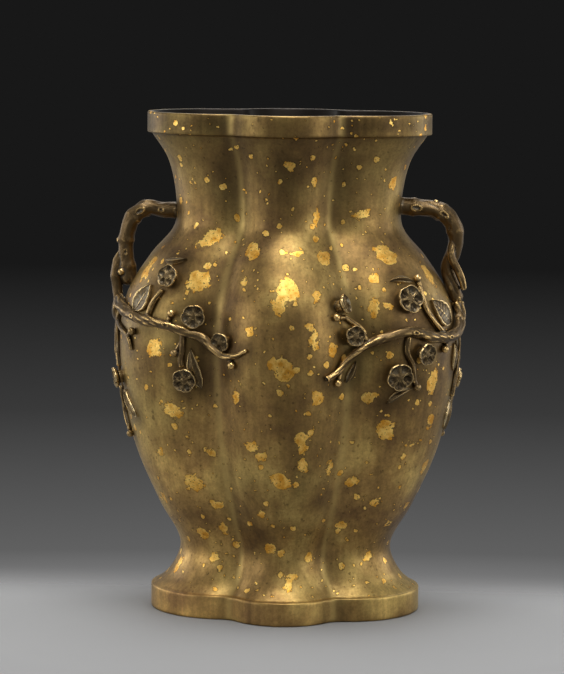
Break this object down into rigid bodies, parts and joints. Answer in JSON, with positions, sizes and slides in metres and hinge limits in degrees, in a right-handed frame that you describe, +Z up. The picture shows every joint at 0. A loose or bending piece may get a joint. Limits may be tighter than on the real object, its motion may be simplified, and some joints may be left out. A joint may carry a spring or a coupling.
{
  "type": "flower vase",
  "caption": "Oblong quatrefoil bronze vase with upright mouth and foot bands, prunus-branch handles and applied blossoming boughs.",
  "frame": {"origin": "centre of the foot on the surface that the vase stands on", "axes": "+Z up the vase, +X towards the handle on the viewer's right, +Y towards the back, so the front lobe faces -Y"},
  "size_m": [0.2148, 0.158, 0.3],
  "materials": {
    "gold_splashed_bronze": "brown-olive patina with scattered gold splashes, satin",
    "dark_bronze": "dark brown patina with bright worn ridges, satin",
    "worn_bronze": "brown patina rubbed to metal on the high edges, satin"
  },
  "bodies": {
    "root": {"back_left_blossom_1": "worn_bronze", "back_left_blossom_2": "worn_bronze", "back_left_blossom_3": "worn_bronze", "back_left_blossom_4": "worn_bronze", "back_left_blossom_5": "worn_bronze", "back_left_bough": "dark_bronze", "back_left_hanging_twig": "dark_bronze", "back_left_leaf_1": "worn_bronze", "back_left_leaf_2": "worn_bronze", "back_left_leaf_3": "worn_bronze", "back_left_leaf_4": "worn_bronze", "back_left_side_leaf": "worn_bronze", "back_left_side_leaf_2": "worn_bronze", "back_left_side_twig": "dark_bronze", "back_right_blossom_1": "worn_bronze", "back_right_blossom_2": "worn_bronze", "back_right_blossom_3": "worn_bronze", "back_right_blossom_4": "worn_bronze", "back_right_bough": "dark_bronze", "back_right_hanging_twig": "dark_bronze", "back_right_leaf_1": "worn_bronze", "back_right_leaf_2": "worn_bronze", "back_right_leaf_3": "worn_bronze", "back_right_side_blossom": "worn_bronze", "back_right_side_leaf": "worn_bronze", "back_right_side_shoot": "dark_bronze", "back_right_side_twig": "dark_bronze", "foot_plate": "dark_bronze", "front_left_blossom_1": "worn_bronze", "front_left_blossom_2": "worn_bronze", "front_left_blossom_3": "worn_bronze", "front_left_blossom_4": "worn_bronze", "front_left_bough": "dark_bronze", "front_left_hanging_twig": "dark_bronze", "front_left_leaf_1": "worn_bronze", "front_left_leaf_2": "worn_bronze", "front_left_leaf_3": "worn_bronze", "front_left_side_blossom": "worn_bronze", "front_left_side_leaf": "worn_bronze", "front_left_side_shoot": "dark_bronze", "front_left_side_twig": "dark_bronze", "front_right_blossom_1": "worn_bronze", "front_right_blossom_2": "worn_bronze", "front_right_blossom_3": "worn_bronze", "front_right_blossom_4": "worn_bronze", "front_right_blossom_5": "worn_bronze", "front_right_bough": "dark_bronze", "front_right_hanging_twig": "dark_bronze", "front_right_leaf_1": "worn_bronze", "front_right_leaf_2": "worn_bronze", "front_right_leaf_3": "worn_bronze", "front_right_leaf_4": "worn_bronze", "front_right_side_leaf": "worn_bronze", "front_right_side_leaf_2": "worn_bronze", "front_right_side_twig": "dark_bronze", "left_handle": "dark_bronze", "right_handle": "dark_bronze", "vase_body": "gold_splashed_bronze"}
  },
  "joints": []
}
